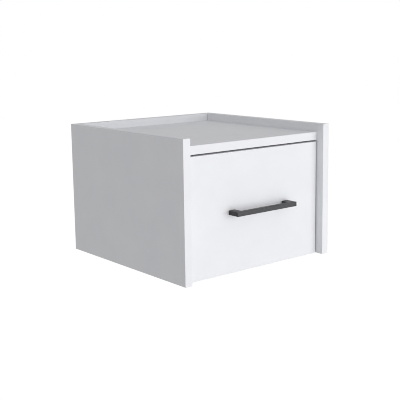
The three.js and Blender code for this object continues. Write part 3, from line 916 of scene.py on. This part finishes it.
class NIGHTSTAND_OT_handle(bpy.types.Operator):
    """Builds the square-section bar handle with its two legs"""

    bl_idname = "nightstand.handle"
    bl_label = "Handle"

    def execute(self, context):
        sizes = context.scene.nightstand_sizes
        low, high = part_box("handle")
        shape = cuboid(low, Vector((high.x, low.y + sizes.bar, high.z)))
        for x in (low.x + sizes.leg, high.x - sizes.leg):
            geometry = shape.verts[:] + shape.edges[:] + shape.faces[:]
            bmesh.ops.bisect_plane(shape, geom=geometry, plane_co=(x, 0, 0), plane_no=RIGHT)
        legs = []
        for face in shape.faces:
            middle = face.calc_center_median()
            outside = middle.x < low.x + sizes.leg or middle.x > high.x - sizes.leg
            if face.normal.y > MOSTLY and outside:
                legs.append(face)
        for face in bmesh.ops.extrude_discrete_faces(shape, faces=legs)["faces"]:
            bmesh.ops.translate(shape, vec=(0, high.y - low.y - sizes.bar, 0), verts=face.verts)
        corners = [edge for edge in shape.edges if edge.calc_face_angle(0) > SHARP_ANGLE]
        ease(shape, sizes.handle_edge, sizes.edge_steps, corners)
        piece = to_object(shape, "handle_finished", [material(context, "powder")])
        holes = []
        radius = HANDLE_SCREW["shank"] / 2 + PILOT_CLEARANCE
        for spot in handle_screw_spots():
            start = Vector((spot.x, high.y - HANDLE_SCREW_GRIP - FIT_GAP, spot.z))
            end = Vector((spot.x, high.y + OVERRUN, spot.z))
            holes.append(cylinder(start, end, radius, sides=SCREW_SIDES))
        cut(piece, [merge(holes)], material(context, "zinc"))
        dress(piece, body_of("handle"), "grey_powder_coat", "handle")
        return {"FINISHED"}


# Screws


def add_screw(context, name, size, profile, ridge, matrix):
    """Turns a screw, cuts its recess, adds its thread and puts it in its place."""
    zinc = material(context, "zinc")
    piece = to_object(turned(profile), name, [zinc])
    across = size["head"]
    depth = size["rise"] * RECESS_DEPTH_SHARE
    cut(piece, [cross_tool(across * RECESS_LENGTH_SHARE, across * RECESS_WIDTH_SHARE, depth)], zinc)
    whole = bmesh.new()
    whole.from_mesh(piece.data)
    whole = placed(merge([whole, ridge]), matrix)
    whole.to_mesh(piece.data)
    whole.free()
    return piece


def countersunk_screw(context, name, size, length, matrix):
    """A flat-head screw with a wood thread and a point."""
    core = size["core"] / 2
    head = size["head"] / 2 - PILOT_CLEARANCE
    shoulder = -size["rise"]
    profile = [
        (0, -length),
        (core * POINT_SHARE, -length + SCREW_POINT),
        (core, -length + size["shank"]),
        (core, shoulder - SCREW_NECK),
        (size["shank"] / 2, shoulder),
        (head, -PILOT_CLEARANCE),
        (head, 0),
        (0, 0),
    ]
    ridge = thread(size["shank"] - length, shoulder - SCREW_NECK - size["pitch"] / 2, size)
    return add_screw(context, name, size, profile, ridge, matrix)


class NIGHTSTAND_OT_box_screws(bpy.types.Operator):
    """Builds the four countersunk screws that hold the drawer's back"""

    bl_idname = "nightstand.box_screws"
    bl_label = "Box screws"

    def execute(self, context):
        for node, spot, way in box_screw_lines():
            matrix = screw_matrix(spot + way * FIT_GAP, way)
            length = BOX_SCREW_LENGTH - FIT_GAP
            piece = countersunk_screw(context, f"{node}_finished", BOX_SCREW, length, matrix)
            dress(piece, body_of(node), "zinc_plate", node)
        return {"FINISHED"}


class NIGHTSTAND_OT_handle_screws(bpy.types.Operator):
    """Builds the two pan-head machine screws of the handle"""

    bl_idname = "nightstand.handle_screws"
    bl_label = "Handle screws"

    def execute(self, context):
        size = HANDLE_SCREW
        core = size["core"] / 2
        head = size["head"] / 2
        shoulder = -size["rise"]
        dome = size["rise"] * DOME_SHARE
        angles = [math.pi / 2 * step / DOME_STEPS for step in range(DOME_STEPS)]
        for (name, _), spot in zip(SIDES, handle_screw_spots()):
            node = f"{name}_handle_screw"
            low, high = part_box(node)
            end = low.y - high.y
            profile = [
                (0, end),
                (core - SCREW_POINT / 2, end),
                (core, end + SCREW_POINT),
                (core, shoulder),
                (head, shoulder),
                *((head * math.cos(angle), dome * (math.sin(angle) - 1)) for angle in angles),
                (0, 0),
            ]
            ridge = thread(end + SCREW_POINT, shoulder - size["pitch"], size)
            matrix = screw_matrix(Vector((spot.x, high.y, spot.z)), -BACK)
            piece = add_screw(context, f"{node}_finished", size, profile, ridge, matrix)
            dress(piece, body_of(node), "zinc_plate", node)
        return {"FINISHED"}


class NIGHTSTAND_OT_cam_locks(bpy.types.Operator):
    """Builds the round cam locks with their chambers and cross recesses"""

    bl_idname = "nightstand.cam_locks"
    bl_label = "Cam locks"

    def execute(self, context):
        casting = material(context, "casting")
        for joint in cam_joints():
            size = joint["size"]
            radius = joint["radius"]
            low = joint["low"]
            high = joint["high"]
            shape = cylinder(low * UP, high * UP, radius)
            rims = [edge for edge in shape.edges if edge.calc_face_angle(0) > SHARP_ANGLE]
            ease(shape, CAM_EDGE, CAM_EDGE_STEPS, rims)
            piece = to_object(shape, joint["name"] + "_cam_finished", [casting])
            chamber = size["head"] / 2 + BORE_CLEARANCE
            neck = size["neck"] / 2 + BORE_CLEARANCE
            reach = radius + OVERRUN
            # The bolt's head turns in a chamber that is open on one side, and its neck runs in a slot.
            hollow = cylinder(-chamber * UP, chamber * UP, chamber)
            for vert in hollow.verts:
                if vert.co.y < 0:
                    vert.co.y -= reach
            slot = cuboid(Vector((0, -neck, -neck)), Vector((reach, neck, neck)))
            cross = cross_tool(size["cross"], CAM_CROSS_WIDTH, CAM_CROSS_DEPTH)
            cross = placed(cross, screw_matrix(high * UP, -UP))
            cut(piece, [hollow, slot, cross], casting)
            move_mesh(piece, joint["matrix"])
            node = joint["name"] + "_cam"
            dress(piece, body_of(node), "zinc_casting", node)
        return {"FINISHED"}


class NIGHTSTAND_OT_cam_bolts(bpy.types.Operator):
    """Builds the bolts that the cams draw in"""

    bl_idname = "nightstand.cam_bolts"
    bl_label = "Cam bolts"

    def execute(self, context):
        for joint in cam_joints():
            size = joint["size"]
            head = size["head"] / 2
            neck = size["neck"] / 2
            shank = size["shank"] / 2
            core = shank - BOLT_THREAD_DEPTH
            shoulder = size["bore"] / 2 + BORE_CLEARANCE
            tip = joint["tip"]
            thread_start = tip - BOLT_THREAD
            profile = [
                (0, -neck),
                (neck * BOLT_CROWN_SHARE, -neck),
                (head, 0),
                (head, neck / 2),
                (neck, neck),
                (neck, shoulder),
                (shank, shoulder + shank - neck),
                (shank, thread_start - SCREW_NECK),
                (core, thread_start),
                (core, tip - shank),
                (core * POINT_SHARE, tip),
                (0, tip),
            ]
            screw = {"shank": 2 * shank, "core": 2 * core, "pitch": BOLT_PITCH}
            ridge = thread(thread_start + BOLT_PITCH / 2, tip - shank, screw)
            whole = placed(merge([turned(profile), ridge]), joint["matrix"])
            node = joint["name"] + "_cam_bolt"
            piece = to_object(whole, f"{node}_finished", [material(context, "zinc")])
            dress(piece, body_of(node), "zinc_plate", node)
        return {"FINISHED"}


# Slides. Their sections are drawn in the XZ plane as the left slide's: X from the side panel to the drawer.

CABINET_WEB = SHEET / 2
OUTER_CAGE_WEB = SHEET + WEB_GAP + CAGE_SHEET / 2
MIDDLE_WEB = OUTER_CAGE_WEB + CAGE_SHEET / 2 + WEB_GAP + SHEET / 2
INNER_CAGE_WEB = MIDDLE_WEB + SHEET / 2 + WEB_GAP + CAGE_SHEET / 2
DRAWER_WEB = SLIDE_STACK - SHEET / 2
OUTER_RACE = OUTER_BALL / 2 + BALL_CLEARANCE + SHEET / 2
INNER_RACE = INNER_BALL / 2 + BALL_CLEARANCE + SHEET / 2
BEND_REACH = BEND * (1 + math.cos(RACE_ANGLE))
OUTER_ACROSS = MIDDLE_WEB + BEND_REACH + OUTER_RACE * math.cos(RACE_ANGLE)
INNER_ACROSS = DRAWER_WEB - BEND_REACH - INNER_RACE * math.cos(RACE_ANGLE)
BALL_STEP = INNER_ACROSS - OUTER_ACROSS


def ball_heights():
    """How far the two rows of balls lie above and below a slide's middle."""
    low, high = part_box("left_cabinet_rail")
    outer = (high.z - low.z) / 2 - SHEET / 2 - OUTER_RACE
    inner = outer - math.sqrt((OUTER_RACE + INNER_RACE) ** 2 - BALL_STEP**2)
    return outer, inner


def bend_line(shape, arcs):
    """Draws the upper half of a sheet's middle line as arcs with straight runs between them.

    It returns the last vertex. Each arc is its centre's X and Z, its radius, its two angles and its steps.
    """
    tip = None
    for across, up, radius, start, end, steps in arcs:
        corner = Vector((across + radius * math.cos(start), 0, up + radius * math.sin(start)))
        begin = shape.verts.new(corner)
        if tip:
            shape.edges.new((tip, begin))
        centre = (across, 0, up)
        spun = bmesh.ops.spin(shape, geom=[begin], cent=centre, axis=-BACK, angle=end - start, steps=steps)
        tip = next(item for item in spun["geom_last"] if isinstance(item, bmesh.types.BMVert))
    return tip


def bent_sheet(context, node, arcs, thickness, edge, lip=None):
    """A node's sheet, bent to a symmetrical section and as long as the node along Y.

    A lip is the end of a last straight run.
    """
    low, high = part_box(node)
    shape = bmesh.new()
    tip = bend_line(shape, arcs)
    if lip:
        shape.edges.new((tip, shape.verts.new(lip)))
    bmesh.ops.remove_doubles(shape, verts=shape.verts, dist=WELD)
    upper = shape.verts[:] + shape.edges[:]
    bmesh.ops.mirror(shape, geom=upper, matrix=Matrix.Identity(4), merge_dist=-1, axis="Z")
    ends = sorted((v for v in shape.verts if len(v.link_edges) == 1), key=lambda v: abs(v.co.z))
    shape.edges.new(ends[:2])
    pushed = bmesh.ops.extrude_edge_only(shape, edges=shape.edges[:])["geom"]
    corners = [item for item in pushed if isinstance(item, bmesh.types.BMVert)]
    bmesh.ops.translate(shape, vec=(0, high.y - low.y, 0), verts=corners)
    bmesh.ops.translate(shape, vec=(0, low.y, 0), verts=shape.verts)
    bmesh.ops.recalc_face_normals(shape, faces=shape.faces)
    piece = to_object(shape, f"{node}_finished", [material(context, "zinc")])
    wall = piece.modifiers.new("wall", "SOLIDIFY")
    wall.thickness = thickness
    wall.offset = 0
    wall.use_even_offset = True
    soft = piece.modifiers.new("soft", "BEVEL")
    soft.width = edge
    soft.segments = 1
    soft.limit_method = "ANGLE"
    soft.angle_limit = CUT_ANGLE
    apply_modifiers(piece)
    return piece


def cabinet_arcs():
    """The cabinet rail's section: a square bend and an outer race."""
    outer, _ = ball_heights()
    lean = math.pi / 2 - RACE_ANGLE
    corner = outer + OUTER_RACE * math.sin(lean) - BEND
    return [
        (CABINET_WEB + BEND, corner, BEND, math.pi, math.pi / 2, SQUARE_BEND_STEPS),
        (OUTER_ACROSS, outer, OUTER_RACE, math.pi - lean, lean, RACE_STEPS),
    ]


def middle_arcs():
    """The middle rail's section: a sharp bend, an outer race and an inner race."""
    outer, inner = ball_heights()
    corner = outer - (OUTER_RACE + BEND) * math.sin(RACE_ANGLE)
    turn = math.atan2(inner - outer, BALL_STEP)
    return [
        (MIDDLE_WEB + BEND, corner, BEND, math.pi, RACE_ANGLE, SHARP_BEND_STEPS),
        (OUTER_ACROSS, outer, OUTER_RACE, RACE_ANGLE - math.pi, turn, HALF_RACE_STEPS),
        (INNER_ACROSS, inner, INNER_RACE, turn + math.pi, math.pi / 2 - RACE_ANGLE, RACE_STEPS),
    ]


def drawer_arcs():
    """The drawer rail's section: a sharp bend and an inner race."""
    _, inner = ball_heights()
    corner = inner - (INNER_RACE + BEND) * math.sin(RACE_ANGLE)
    return [
        (DRAWER_WEB - BEND, corner, BEND, 0, math.pi - RACE_ANGLE, SHARP_BEND_STEPS),
        (INNER_ACROSS, inner, INNER_RACE, -RACE_ANGLE, -math.pi / 2 - RACE_ANGLE, RACE_STEPS),
    ]


def cage_arcs(web, up):
    """A ball cage's section: one square bend."""
    return [(web + CAGE_BEND, up - CAGE_BEND, CAGE_BEND, math.pi, math.pi / 2, SQUARE_BEND_STEPS)]


def slide_matrix(side):
    """Puts a piece that is drawn for the left slide in its place, mirrored for the right one."""
    turn = Matrix.Diagonal((-side, 1, 1, 1))
    turn.translation = Vector((side_faces(side)[0] - side * FIT_GAP, 0, slide_level()))
    return turn


def web_hole(web, row, diameter):
    """A round hole through a rail's web, as far from the rail's front as the row says."""
    start = Vector((web - OVERRUN / 2, rail_front() + row, 0))
    end = Vector((web + OVERRUN / 2, rail_front() + row, 0))
    return cylinder(start, end, diameter / 2, sides=SCREW_SIDES)


def slots(web):
    """Long holes that let a rail be shifted before its screws are tight."""
    tools = []
    half_run = (SLOT_LENGTH - SLOT_WIDTH) / 2
    for row in SLOT_ROWS:
        shape = web_hole(web, row, SLOT_WIDTH)
        middle = rail_front() + row
        for vert in shape.verts:
            vert.co.y += math.copysign(half_run, vert.co.y - middle)
        tools.append(shape)
    return tools


def access_holes(web):
    """Round holes in the middle rail that let a driver reach the cabinet rail's screws."""
    return [web_hole(web, row, ACCESS_HOLE) for row in SCREW_ROWS]


def outer_rail_holes(web, way):
    """Slots, and countersunk holes that fit the heads of a rail's screws, which run the given way."""
    hole = RAIL_SCREW["shank"] / 2 + PILOT_CLEARANCE
    mouth = RAIL_SCREW["head"] / 2
    depth = RAIL_SCREW["rise"] - RAIL_SCREW_STAND
    run = SHEET + OVERRUN / 2
    face = web - way * SHEET / 2
    spots = [Vector((face, rail_front() + row, 0)) for row in SCREW_ROWS]
    return [sunk_bore(spot, way * RIGHT, hole, mouth, depth, run) for spot in spots] + slots(web)


def add_rail(context, kind, arcs, holes):
    """Builds a rail for both slides from one section and one function that makes the tools of its holes."""
    edge = context.scene.nightstand_sizes.sheet_edge
    for name, side in SIDES:
        node = f"{name}_{kind}_rail"
        piece = bent_sheet(context, node, arcs, SHEET, edge)
        cut(piece, [merge(holes())], material(context, "zinc"))
        move_mesh(piece, slide_matrix(side))
        dress(piece, body_of(node), "zinc_plate", node)


class NIGHTSTAND_OT_rails(bpy.types.Operator):
    """Builds the cabinet, middle and drawer rails of both slides"""

    bl_idname = "nightstand.rails"
    bl_label = "Slide rails"

    def execute(self, context):
        add_rail(context, "cabinet", cabinet_arcs(), lambda: outer_rail_holes(CABINET_WEB, -1))
        add_rail(context, "middle", middle_arcs(), lambda: access_holes(MIDDLE_WEB))
        add_rail(context, "drawer", drawer_arcs(), lambda: outer_rail_holes(DRAWER_WEB, 1))
        return {"FINISHED"}


def ball_places(node, across, up):
    """The centres of a cage's balls, in a row below and a row above."""
    first = middle_of(node).y - (BALLS_A_ROW - 1) / 2 * BALL_PITCH
    rows = [first + i * BALL_PITCH for i in range(BALLS_A_ROW)]
    return [Vector((across, y, level)) for y in rows for level in (-up, up)]


def sphere(centre, radius, rings, sides):
    shape = bmesh.new()
    place = Matrix.Translation(centre)
    bmesh.ops.create_uvsphere(shape, u_segments=sides, v_segments=rings, radius=radius, matrix=place)
    return shape


class NIGHTSTAND_OT_ball_cages(bpy.types.Operator):
    """Builds the strips that space the balls, and the balls in their windows"""

    bl_idname = "nightstand.ball_cages"
    bl_label = "Ball cages"

    def execute(self, context):
        zinc = material(context, "zinc")
        steel = material(context, "balls")
        outer, inner = ball_heights()
        cages = (
            ("outer", OUTER_CAGE_WEB, OUTER_ACROSS, outer, OUTER_BALL / 2),
            ("inner", INNER_CAGE_WEB, INNER_ACROSS, inner, INNER_BALL / 2),
        )
        for name, side in SIDES:
            for kind, web, across, up, radius in cages:
                node = f"{name}_{kind}_ball_cage"
                lip = (across + radius * CAGE_REACH_SHARE, 0, up)
                piece = bent_sheet(context, node, cage_arcs(web, up), CAGE_SHEET, CAGE_EDGE, lip)
                places = ball_places(node, across, up)
                windows = [sphere(place, radius + WINDOW_CLEARANCE, *WINDOW_STEPS) for place in places]
                cut(piece, [merge(windows)], zinc)
                move_mesh(piece, slide_matrix(side))
                dress(piece, body_of(node), "zinc_plate", node)
                balls = merge([sphere(place, radius, *BALL_STEPS) for place in places])
                balls = placed(balls, slide_matrix(side))
                dress(to_object(balls, f"{name}_{kind}_balls", [steel]), body_of(node), "zinc_plate")
        return {"FINISHED"}


class NIGHTSTAND_OT_rail_screws(bpy.types.Operator):
    """Builds the flat-head screws that hold the rails"""

    bl_idname = "nightstand.rail_screws"
    bl_label = "Rail screws"

    def execute(self, context):
        length = RAIL_SCREW_LENGTH + SHEET
        for name, side in SIDES:
            for kind, web, way in (("cabinet", CABINET_WEB, -1), ("drawer", DRAWER_WEB, 1)):
                node = f"{name}_{kind}_rail"
                for number, row in enumerate(SCREW_ROWS, start=1):
                    spot = Vector((web - way * (SHEET / 2 + RAIL_SCREW_STAND), rail_front() + row, 0))
                    matrix = slide_matrix(side) @ screw_matrix(spot, way * RIGHT)
                    piece = countersunk_screw(context, f"{node}_screw_{number}", RAIL_SCREW, length, matrix)
                    dress(piece, body_of(node), "zinc_plate")
        return {"FINISHED"}


# Studio


def shown_rays(tree):
    """Is one for rays that show the background or its reflection, and zero for light on the object."""
    paths = add_node(tree, "ShaderNodeLightPath").outputs
    seen = paths["Is Camera Ray"]
    for name in ("Is Glossy Ray", "Is Transmission Ray"):
        either = add_node(tree, "ShaderNodeMath", {"operation": "MAXIMUM"}, {0: seen, 1: paths[name]})
        seen = either.outputs[0]
    return seen


def add_world(context, studio):
    """Soft daylight that falls off towards the zenith, and shows as plain white."""
    world = bpy.data.worlds.new("studio_daylight")
    world.use_nodes = True
    tree = world.node_tree
    background = tree.nodes["Background"]
    background.inputs["Color"].default_value = (1, 1, 1, 1)
    way = add_node(tree, "ShaderNodeTexCoord").outputs["Generated"]
    height = add_node(tree, "ShaderNodeSeparateXYZ", inputs={"Vector": way}).outputs["Z"]
    inputs = {"Value": height, "To Min": studio.horizon, "To Max": studio.zenith}
    daylight = add_node(tree, "ShaderNodeMapRange", inputs=inputs).outputs["Result"]
    inputs = {"Value": shown_rays(tree), "To Min": daylight, "To Max": 1}
    strength = add_node(tree, "ShaderNodeMapRange", inputs=inputs).outputs["Result"]
    tree.links.new(strength, background.inputs["Strength"])
    context.scene.world = world


def add_floor(studio):
    """A pale floor that shows as white, with the nightstand's shadow left on it."""
    shape = bmesh.new()
    bmesh.ops.create_grid(shape, x_segments=1, y_segments=1, size=studio.floor_side / 2)
    bmesh.ops.translate(shape, vec=(0, 0, cad_box[0].z - studio.drop), verts=shape.verts)
    inputs = {
        "Base Color": opaque(studio.floor),
        "Roughness": 0.8,
        "Specular IOR Level": 0.1,
        "Emission Color": (1, 1, 1, 1),
    }
    surface, tree, shader = finish("pale_floor", inputs)
    inputs = {0: shown_rays(tree), 1: studio.floor_lift}
    lift = add_node(tree, "ShaderNodeMath", {"operation": "MULTIPLY"}, inputs)
    tree.links.new(lift.outputs[0], shader.inputs["Emission Strength"])
    to_object(shape, "floor", [surface])


def add_key_lamp(context, studio):
    """A large soft lamp that faces the middle of the nightstand."""
    data = bpy.data.lights.new("key_lamp", "AREA")
    data.energy = studio.key_power
    data.shape = "RECTANGLE"
    data.size = studio.key_width
    data.size_y = studio.key_height
    lamp = bpy.data.objects.new("key_lamp", data)
    context.scene.collection.objects.link(lamp)
    lamp.location = studio.key_place
    middle = (cad_box[0] + cad_box[1]) / 2
    lamp.rotation_euler = (middle - lamp.location).to_track_quat("-Z", "Y").to_euler()


def add_camera(context, studio):
    """The camera, in the place and with the turn that the photograph was taken from."""
    data = bpy.data.cameras.new("camera")
    data.sensor_width = SENSOR_WIDTH
    data.lens = studio.lens
    data.shift_x = studio.shift_x
    data.shift_y = studio.shift_y
    camera = bpy.data.objects.new("camera", data)
    context.scene.collection.objects.link(camera)
    turn = Matrix.Rotation(-studio.yaw, 4, "Z") @ Matrix.Rotation(math.pi / 2 - studio.pitch, 4, "X")
    camera.matrix_world = Matrix.Translation(studio.place) @ turn @ Matrix.Rotation(studio.roll, 4, "Z")
    context.scene.camera = camera


class NIGHTSTAND_OT_stage(bpy.types.Operator):
    """Sets up the floor, the soft light and the camera"""

    bl_idname = "nightstand.stage"
    bl_label = "Studio"

    def execute(self, context):
        studio = context.scene.nightstand_studio
        add_world(context, studio)
        add_floor(studio)
        add_key_lamp(context, studio)
        add_camera(context, studio)
        context.scene.view_settings.view_transform = "Standard"
        # The photograph is crisp, so a pixel takes light from hardly more than itself.
        context.scene.cycles.filter_width = 1
        return {"FINISHED"}


GROUPS = {
    "nightstand_sizes": NightstandSizes,
    "nightstand_finishes": NightstandFinishes,
    "nightstand_studio": NightstandStudio,
}

OPERATORS = (
    NIGHTSTAND_OT_stage,
    NIGHTSTAND_OT_boards,
    NIGHTSTAND_OT_drawer_bottom,
    NIGHTSTAND_OT_handle,
    NIGHTSTAND_OT_handle_screws,
    NIGHTSTAND_OT_box_screws,
    NIGHTSTAND_OT_cam_locks,
    NIGHTSTAND_OT_cam_bolts,
    NIGHTSTAND_OT_rails,
    NIGHTSTAND_OT_ball_cages,
    NIGHTSTAND_OT_rail_screws,
)


class NIGHTSTAND_PT_panel(bpy.types.Panel):
    """Lists the pieces of the nightstand and their settings"""

    bl_idname = "NIGHTSTAND_PT_panel"
    bl_label = "Floating Nightstand"
    bl_space_type = "VIEW_3D"
    bl_region_type = "UI"
    bl_category = "Nightstand"

    def draw(self, context):
        layout = self.layout
        for group in GROUPS:
            settings = getattr(context.scene, group)
            box = layout.box()
            for name in settings.__annotations__:
                box.prop(settings, name)
        for operator in OPERATORS:
            layout.operator(operator.bl_idname)


def register():
    for group in GROUPS.values():
        bpy.utils.register_class(group)
    for name, group in GROUPS.items():
        setattr(bpy.types.Scene, name, PointerProperty(type=group))
    for operator in OPERATORS:
        bpy.utils.register_class(operator)
    bpy.utils.register_class(NIGHTSTAND_PT_panel)


def unregister():
    bpy.utils.unregister_class(NIGHTSTAND_PT_panel)
    for operator in reversed(OPERATORS):
        bpy.utils.unregister_class(operator)
    for name, group in GROUPS.items():
        delattr(bpy.types.Scene, name)
        bpy.utils.unregister_class(group)


def main():
    register()
    for operator in OPERATORS:
        _, name = operator.bl_idname.split(".")
        getattr(bpy.ops.nightstand, name)()


if __name__ == "__main__":
    main()
